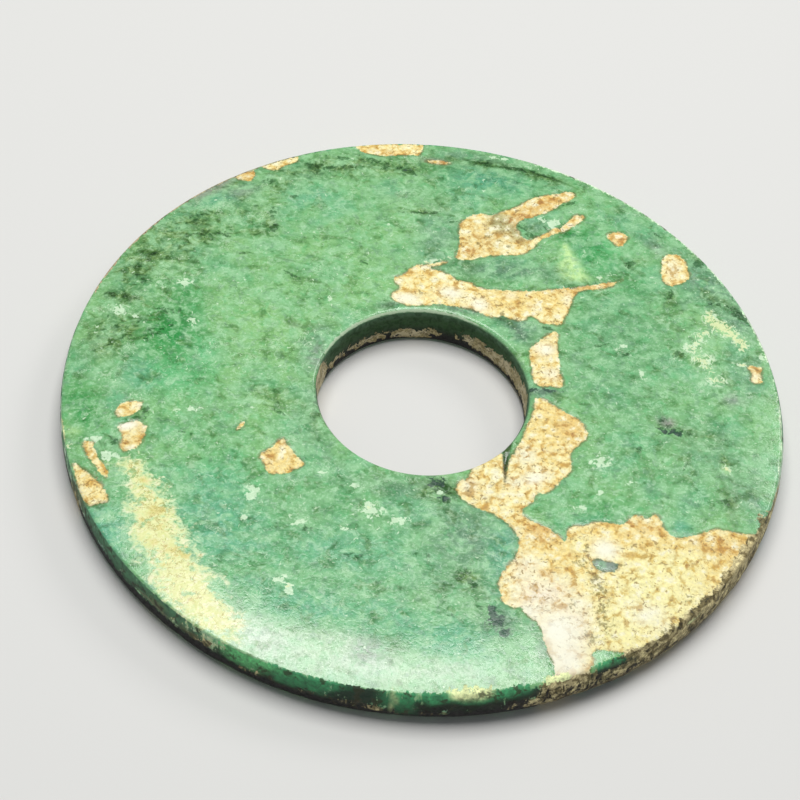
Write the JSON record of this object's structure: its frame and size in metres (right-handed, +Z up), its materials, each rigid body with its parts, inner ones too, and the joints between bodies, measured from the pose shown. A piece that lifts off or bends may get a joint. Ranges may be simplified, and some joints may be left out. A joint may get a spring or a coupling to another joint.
{
  "type": "jade pendant",
  "caption": "Flat round jade pendant with a central hole, falling shoulders and a rounded rim, green stone with tan and cream altered patches.",
  "frame": {"origin": "on the surface that the disc lies on, under the middle of its outer circle", "axes": "+Z up through the thickness, out of the face that the picture shows; -Y towards the side that is nearest in the picture; +X to its right"},
  "size_m": [0.06, 0.06, 0.0038],
  "materials": {
    "jade": "polished green jade, mottled and cloudy, with flush patches of tan and cream altered stone, pale flecks, olive stains and dark grime along the rim"
  },
  "bodies": {
    "root": {"jade_disc": "jade"}
  },
  "joints": []
}
